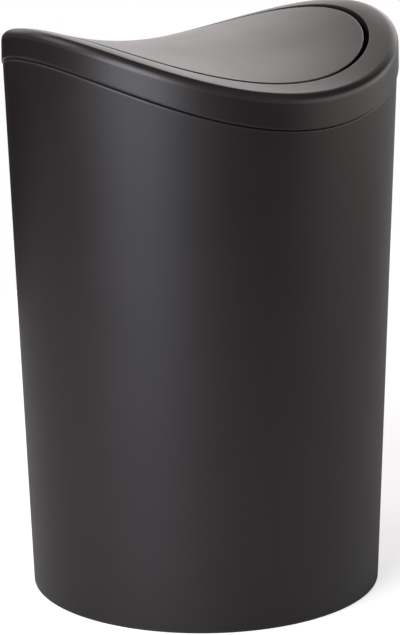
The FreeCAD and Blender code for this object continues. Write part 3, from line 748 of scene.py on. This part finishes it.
def stay(hand):
    """Rib under the flap from ear to ear: a rectangle carried along the pivot axis."""
    path = np.linspace(-EAR_FACE, EAR_FACE, STAY_STATIONS)
    outer, inner = hand * EAR_HALF, hand * (EAR_HALF - STAY_WALL)
    head = saddle(outer, path, FLAP_BENDS, TOP, FLAP_WALL / 2)
    foot = saddle(outer, path, FLAP_BENDS, TOP, STAY_DEPTH)
    corners = [
        (places(inner, foot), SMALL_ROUND),
        (places(outer, foot), SMALL_ROUND),
        (places(outer, head), 0),
        (places(inner, head), 0),
    ]
    return carried(corners, path, (0, 2, 1))


def ear_web(side):
    """Ear's plate: its section carried across X, from inside the flap down to the weight's case.

    The foot of the section is the case's height plus sqrt(R^2 - x^2), inside the case's wall.
    """
    path = EAR_HALF * np.sin(np.linspace(-np.pi / 2, np.pi / 2, EAR_STATIONS))
    inside = (POCKET_RADIUS + EAR_HALF) / 2
    foot = WEIGHT_HEIGHT + np.sqrt(np.maximum(inside**2 - path**2, 0))
    corners = []
    for station, below in ((EAR_BACK, False), (EAR_FACE, False), (EAR_FACE, True), (EAR_BACK, True)):
        head = saddle(path, side * station, FLAP_BENDS, TOP, FLAP_WALL / 2)
        corners.append((places(side * station, foot if below else head), 0))
    return carried(corners, path, (1, 2, 0))


def ear_fittings(side):
    """Hub, stop peg and weight case of one ear, each turned about a line along Y."""
    hub = on_axis(
        [
            (HUB_BORE, HUB_BACK, 0),
            (HUB_RADIUS, HUB_BACK, SMALL_ROUND),
            (HUB_RADIUS, HUB_FACE, SMALL_ROUND),
            (HUB_BORE, HUB_FACE, 0),
        ],
        PIVOT,
        side,
        closed=True,
    )
    peg = on_axis(
        [(0, EAR_BACK, 0), (STOP_PEG, EAR_BACK, 0), (STOP_PEG, PEG_END, PEG_ROUND), (0, PEG_END, 0)],
        PIVOT - STOP_RADIUS,
        side,
        closed=False,
    )
    case = on_axis(
        [
            (0, EAR_FACE, 0),
            (EAR_HALF, EAR_FACE, SMALL_ROUND),
            (EAR_HALF, POCKET_MOUTH, SMALL_ROUND),
            (POCKET_RADIUS, POCKET_MOUTH, FINE_ROUND),
            (POCKET_RADIUS, POCKET_END, 0),
            (0, POCKET_END, 0),
        ],
        WEIGHT_HEIGHT,
        side,
        closed=False,
    )
    return hub, peg, case


flap = mould(
    "swing_flap_moulding",
    flap_disc(),
    *[stay(hand) for hand in SIDES.values()],
    *[ear_web(side) for side in SIDES.values()],
    *[fitting for side in SIDES.values() for fitting in ear_fittings(side)],
)
flap.data.materials.append(satin_charcoal)
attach(flap, "flap")
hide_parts("swing_flap")


# Pivot pins
# Two headed pins of turned bright steel, pressed through the ears' hubs from inside the bin. Their
# ends run in the bushes, and their tips are bevelled so that they start easily.
PIN_HEAD = 4.2
PIN_HEAD_WALL = 1.5
PIN_PROUD = 1.0
PIN_HEAD_FACE = HUB_BACK - PIN_HEAD_WALL
PIN_END = BRACKET_BACK + PIN_PROUD
PIN_TIP = 0.6
PIN_ROUND = 0.3
# Turning lines are about 0.1 mm apart; they are drawn 0.5 mm apart, so that they show.
TURNING_LINE = 0.5
TOOL_RELIEF = 0.01
TOOL_SHARE = 0.4


def worked_steel(name, dark, light, line_width, axis_height, gloss):
    """Bare steel that a tool has gone over: rings of fine tool lines about a line along Y.

    The lines show as narrow bands of paler and duller metal, and as a faint relief.
    """
    made = bpy.data.materials.new(name)
    made.use_nodes = True
    tree = made.node_tree
    shader = tree.nodes["Principled BSDF"]
    shader.inputs["Metallic"].default_value = 1.0
    place = add_node(tree, "ShaderNodeTexCoord").outputs["Object"]
    centred = add_node(
        tree, "ShaderNodeMapping", {"Vector": place, "Location": (0, 0, -axis_height * MM)}
    ).outputs[0]
    lines = add_node(
        tree,
        "ShaderNodeTexWave",
        {"Vector": centred, "Scale": math.pi / (10 * line_width * MM), "Distortion": 1.5, "Detail": 2.0},
        wave_type="RINGS",
        rings_direction="Y",
    ).outputs["Fac"]
    colour = add_node(
        tree,
        "ShaderNodeMix",
        {0: lines, MIX_A: linear(dark), MIX_B: linear(light)},
        data_type="RGBA",
    ).outputs[MIX_OUT]
    smooth, dull = gloss
    sheen = add_node(tree, "ShaderNodeMapRange", {"Value": lines, "To Min": smooth, "To Max": dull})
    relief = add_node(
        tree,
        "ShaderNodeBump",
        {"Height": lines, "Strength": TOOL_SHARE, "Distance": TOOL_RELIEF * MM},
    ).outputs[0]
    tree.links.new(colour, shader.inputs["Base Color"])
    tree.links.new(sheen.outputs[0], shader.inputs["Roughness"])
    tree.links.new(relief, shader.inputs["Normal"])
    return made


turned_steel = worked_steel(
    "turned_bright_steel", "#9a9c9f", "#b9bbbd", TURNING_LINE, PIVOT, (0.24, 0.36)
)
for name, side in SIDES.items():
    pin = mould(
        f"pivot_pin_{name}_turned",
        on_axis(
            [
                (0, PIN_HEAD_FACE, 0),
                (PIN_HEAD, PIN_HEAD_FACE, PIN_ROUND),
                (PIN_HEAD, HUB_BACK, 0),
                (PIN_RADIUS, HUB_BACK, 0),
                (PIN_RADIUS, PIN_END - PIN_TIP, 0),
                (PIN_RADIUS - PIN_TIP, PIN_END, 0),
                (0, PIN_END, 0),
            ],
            PIVOT,
            side,
            closed=False,
        ),
    )
    pin.data.materials.append(turned_steel)
    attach(pin, "flap")
    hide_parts(f"pivot_pin_{name}")


# Counterweights
# Two slugs sawn from plain steel bar, with bevelled ends. They lie loose in the ears' pockets, below
# the pivot, so that the flap swings back to level.
SLUG_EDGE = 0.6
# Saw marks on bar ends are about 0.4 mm apart; they are drawn 1 mm apart, so that they show.
SAW_LINE = 1.0
sawn_steel = worked_steel(
    "sawn_bar_steel", "#6c6e70", "#85878a", SAW_LINE, WEIGHT_HEIGHT, (0.4, 0.55)
)
for name, side in SIDES.items():
    slug = mould(
        f"counterweight_{name}_slug",
        on_axis(
            [
                (0, SLUG_INNER, 0),
                (SLUG_RADIUS - SLUG_EDGE, SLUG_INNER, 0),
                (SLUG_RADIUS, SLUG_INNER + SLUG_EDGE, 0),
                (SLUG_RADIUS, SLUG_OUTER - SLUG_EDGE, 0),
                (SLUG_RADIUS - SLUG_EDGE, SLUG_OUTER, 0),
                (0, SLUG_OUTER, 0),
            ],
            WEIGHT_HEIGHT,
            side,
            closed=False,
        ),
    )
    slug.data.materials.append(sawn_steel)
    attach(slug, "flap")
    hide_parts(f"counterweight_{name}")


# Weight caps
# Two plain round caps of black polypropylene. Each is pushed into the mouth of its pocket by a short
# plug and closes the weight in.
CAP_SETBACK = 0.6
CAP_WALL = 1.5
CAP_RADIUS = EAR_HALF - CAP_SETBACK
CAP_FACE = POCKET_MOUTH - CAP_WALL
CAP_DISH = (7.6, 7.0)
CAP_DISH_DEPTH = 0.5
PLUG_RADIUS = POCKET_RADIUS - PRESS_FIT
PLUG_END = POCKET_MOUTH + CAP_PLUG
# The third colour is the paler edge colour: partly wear, partly a painted highlight.
black = moulded_polypropylene(
    "black_moulded_polypropylene", "#141414", "#1a1a1a", "#2b2b2b", (0.38, 0.48)
)
for name, side in SIDES.items():
    cap = mould(
        f"weight_cap_{name}_moulding",
        on_axis(
            [
                (0, CAP_FACE + CAP_DISH_DEPTH, 0),
                (CAP_DISH[1], CAP_FACE + CAP_DISH_DEPTH, FINE_ROUND),
                (CAP_DISH[0], CAP_FACE, FINE_ROUND),
                (CAP_RADIUS, CAP_FACE, SMALL_ROUND),
                (CAP_RADIUS, POCKET_MOUTH, 0),
                (PLUG_RADIUS, POCKET_MOUTH, 0),
                (PLUG_RADIUS, PLUG_END, FINE_ROUND),
                (0, PLUG_END, 0),
            ],
            WEIGHT_HEIGHT,
            side,
            closed=False,
        ),
    )
    cap.data.materials.append(black)
    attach(cap, "flap")
    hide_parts(f"weight_cap_{name}")


# Camera
# It stands in front and to the left of the bin, above its rim, and looks a little down.
CAMERA_TURN = math.radians(34.109)
CAMERA_DISTANCE = 1.213685
CAMERA_HEIGHT = 0.431707
CAMERA_PITCH = math.radians(-13.859)
CAMERA_YAW = math.radians(-0.074)
CAMERA_ROLL = math.radians(-0.702)
CAMERA_LENS = 144.05
CAMERA_SENSOR = 36.0


def from_the_left(bearing):
    """Level direction at a bearing to the left of the line from the bin to the camera."""
    angle = CAMERA_TURN + bearing
    return mathutils.Vector((-math.sin(angle), -math.cos(angle), 0))


heading = CAMERA_TURN + CAMERA_YAW
forward = mathutils.Vector(
    (
        math.sin(heading) * math.cos(CAMERA_PITCH),
        math.cos(heading) * math.cos(CAMERA_PITCH),
        math.sin(CAMERA_PITCH),
    )
)
level_right = mathutils.Vector((math.cos(heading), -math.sin(heading), 0))
level_up = level_right.cross(forward)
camera_right = level_right * math.cos(CAMERA_ROLL) + level_up * math.sin(CAMERA_ROLL)
camera_up = camera_right.cross(forward)
lens = bpy.data.cameras.new("camera")
lens.lens = CAMERA_LENS
lens.sensor_width = CAMERA_SENSOR
camera = bpy.data.objects.new("camera", lens)
stand = from_the_left(0) * CAMERA_DISTANCE
turning = mathutils.Matrix((camera_right, camera_up, -forward)).transposed().to_4x4()
camera.matrix_world = mathutils.Matrix.Translation((stand.x, stand.y, CAMERA_HEIGHT)) @ turning
bpy.context.scene.collection.objects.link(camera)
bpy.context.scene.camera = camera


# Floor, room and lamps
# A pale floor and a white backdrop behind the bin, in a room that is dark on the camera's side. Soft
# lamps stand all round: the strongest to the left of the camera, and weaker ones beside and behind
# the bin.
FLOOR_HALF = 0.6
FLOOR_COLOUR = "#e9e9e9"
FLOOR_GLOW = 0.64
LAMP_DISTANCE = 1.6
DAYLIGHT = "#f4f7ff"
WARM_WHITE = "#fff8f6"
BACKDROP_TURN = math.radians(20)
# The backdrop fades to this share of its white below the horizon, over this rise to either side.
BACKDROP_FOOT = 0.5
HORIZON = 0.15
# Cosines of the angles from its middle between which the backdrop fades out.
BACKDROP_EDGES = (0.73, 0.97)


def make_floor():
    """Flat square of floor, whose own glow makes it white to the camera but leaves the shadow on it."""
    mesh = bpy.data.meshes.new("floor")
    corners = [(x * FLOOR_HALF, y * FLOOR_HALF, 0) for x, y in ((-1, -1), (1, -1), (1, 1), (-1, 1))]
    mesh.from_pydata(corners, [], [(0, 1, 2, 3)])
    made = bpy.data.objects.new("floor", mesh)
    bpy.context.scene.collection.objects.link(made)
    paint = bpy.data.materials.new("matt_white_floor")
    paint.use_nodes = True
    tree = paint.node_tree
    tree.nodes.clear()
    path = add_node(tree, "ShaderNodeLightPath").outputs
    seen = add_node(
        tree,
        "ShaderNodeMath",
        {0: path["Is Camera Ray"], 1: path["Is Transmission Ray"]},
        operation="MAXIMUM",
    ).outputs[0]
    glow = add_node(tree, "ShaderNodeMath", {0: seen, 1: FLOOR_GLOW}, operation="MULTIPLY").outputs[0]
    matt = add_node(tree, "ShaderNodeBsdfDiffuse", {"Color": linear(FLOOR_COLOUR)}).outputs[0]
    shine = add_node(tree, "ShaderNodeEmission", {"Strength": glow}).outputs[0]
    both = add_node(tree, "ShaderNodeAddShader", {0: matt, 1: shine}).outputs[0]
    add_node(tree, "ShaderNodeOutputMaterial", {"Surface": both})
    mesh.materials.append(paint)
    return made


make_floor()


def make_room():
    """World: white to the camera, and in reflections white behind the bin and dark elsewhere."""
    world = bpy.data.worlds.new("room")
    world.use_nodes = True
    tree = world.node_tree
    tree.nodes.clear()
    look = add_node(tree, "ShaderNodeTexCoord").outputs["Generated"]
    behind = -from_the_left(BACKDROP_TURN)
    share = add_node(
        tree, "ShaderNodeVectorMath", {0: look, 1: tuple(behind)}, operation="DOT_PRODUCT"
    ).outputs["Value"]
    low, high = BACKDROP_EDGES
    level = add_node(
        tree,
        "ShaderNodeMapRange",
        {"Value": share, "From Min": low, "From Max": high},
        interpolation_type="SMOOTHSTEP",
    ).outputs[0]
    rise = add_node(tree, "ShaderNodeSeparateXYZ", {0: look}).outputs["Z"]
    foot = add_node(
        tree,
        "ShaderNodeMapRange",
        {"Value": rise, "From Min": -HORIZON, "From Max": HORIZON, "To Min": BACKDROP_FOOT},
    ).outputs[0]
    shaded = add_node(tree, "ShaderNodeMath", {0: level, 1: foot}, operation="MULTIPLY").outputs[0]
    path = add_node(tree, "ShaderNodeLightPath").outputs
    seen = add_node(
        tree,
        "ShaderNodeMath",
        {0: path["Is Camera Ray"], 1: path["Is Transmission Ray"]},
        operation="MAXIMUM",
    ).outputs[0]
    mirrored = add_node(
        tree, "ShaderNodeMath", {0: path["Is Glossy Ray"], 1: shaded}, operation="MULTIPLY"
    ).outputs[0]
    strength = add_node(
        tree, "ShaderNodeMath", {0: seen, 1: mirrored}, operation="MAXIMUM"
    ).outputs[0]
    light = add_node(
        tree, "ShaderNodeBackground", {"Color": (1.0, 1.0, 1.0, 1.0), "Strength": strength}
    ).outputs[0]
    add_node(tree, "ShaderNodeOutputWorld", {"Surface": light})
    bpy.context.scene.world = world


make_room()


def softbox(name, tint, bearing, rise, width, height, power):
    """Soft lamp at a bearing to the left of the camera and a rise above level, facing the bin."""
    lamp = bpy.data.lights.new(name, "AREA")
    lamp.shape = "RECTANGLE"
    lamp.size = width
    lamp.size_y = height
    lamp.energy = power
    lamp.color = linear(tint)[:3]
    made = bpy.data.objects.new(name, lamp)
    aim = from_the_left(math.radians(bearing)) * math.cos(math.radians(rise))
    aim.z = math.sin(math.radians(rise))
    target = mathutils.Vector((0, 0, RIM * MM / 2))
    facing = aim.to_track_quat("Z", "Y").to_matrix().to_4x4()
    made.matrix_world = mathutils.Matrix.Translation(target + aim * LAMP_DISTANCE) @ facing
    bpy.context.scene.collection.objects.link(made)


softbox("key_softbox", DAYLIGHT, bearing=35, rise=11, width=1.15, height=0.8, power=21.0)
softbox("front_softbox", DAYLIGHT, bearing=30, rise=35, width=0.8, height=0.8, power=9.5)
softbox("side_softbox", WARM_WHITE, bearing=-95, rise=9, width=2.2, height=0.8, power=11.0)
softbox("left_softbox", WARM_WHITE, bearing=95, rise=45, width=0.8, height=0.8, power=5.0)
softbox("rear_left_softbox", WARM_WHITE, bearing=150, rise=30, width=0.8, height=0.8, power=2.5)
softbox("rear_right_softbox", WARM_WHITE, bearing=-158, rise=25, width=0.8, height=0.8, power=3.0)
softbox("backdrop_softbox", WARM_WHITE, bearing=-178, rise=20, width=0.8, height=1.1, power=2.9)
bpy.context.scene.view_settings.view_transform = "Standard"
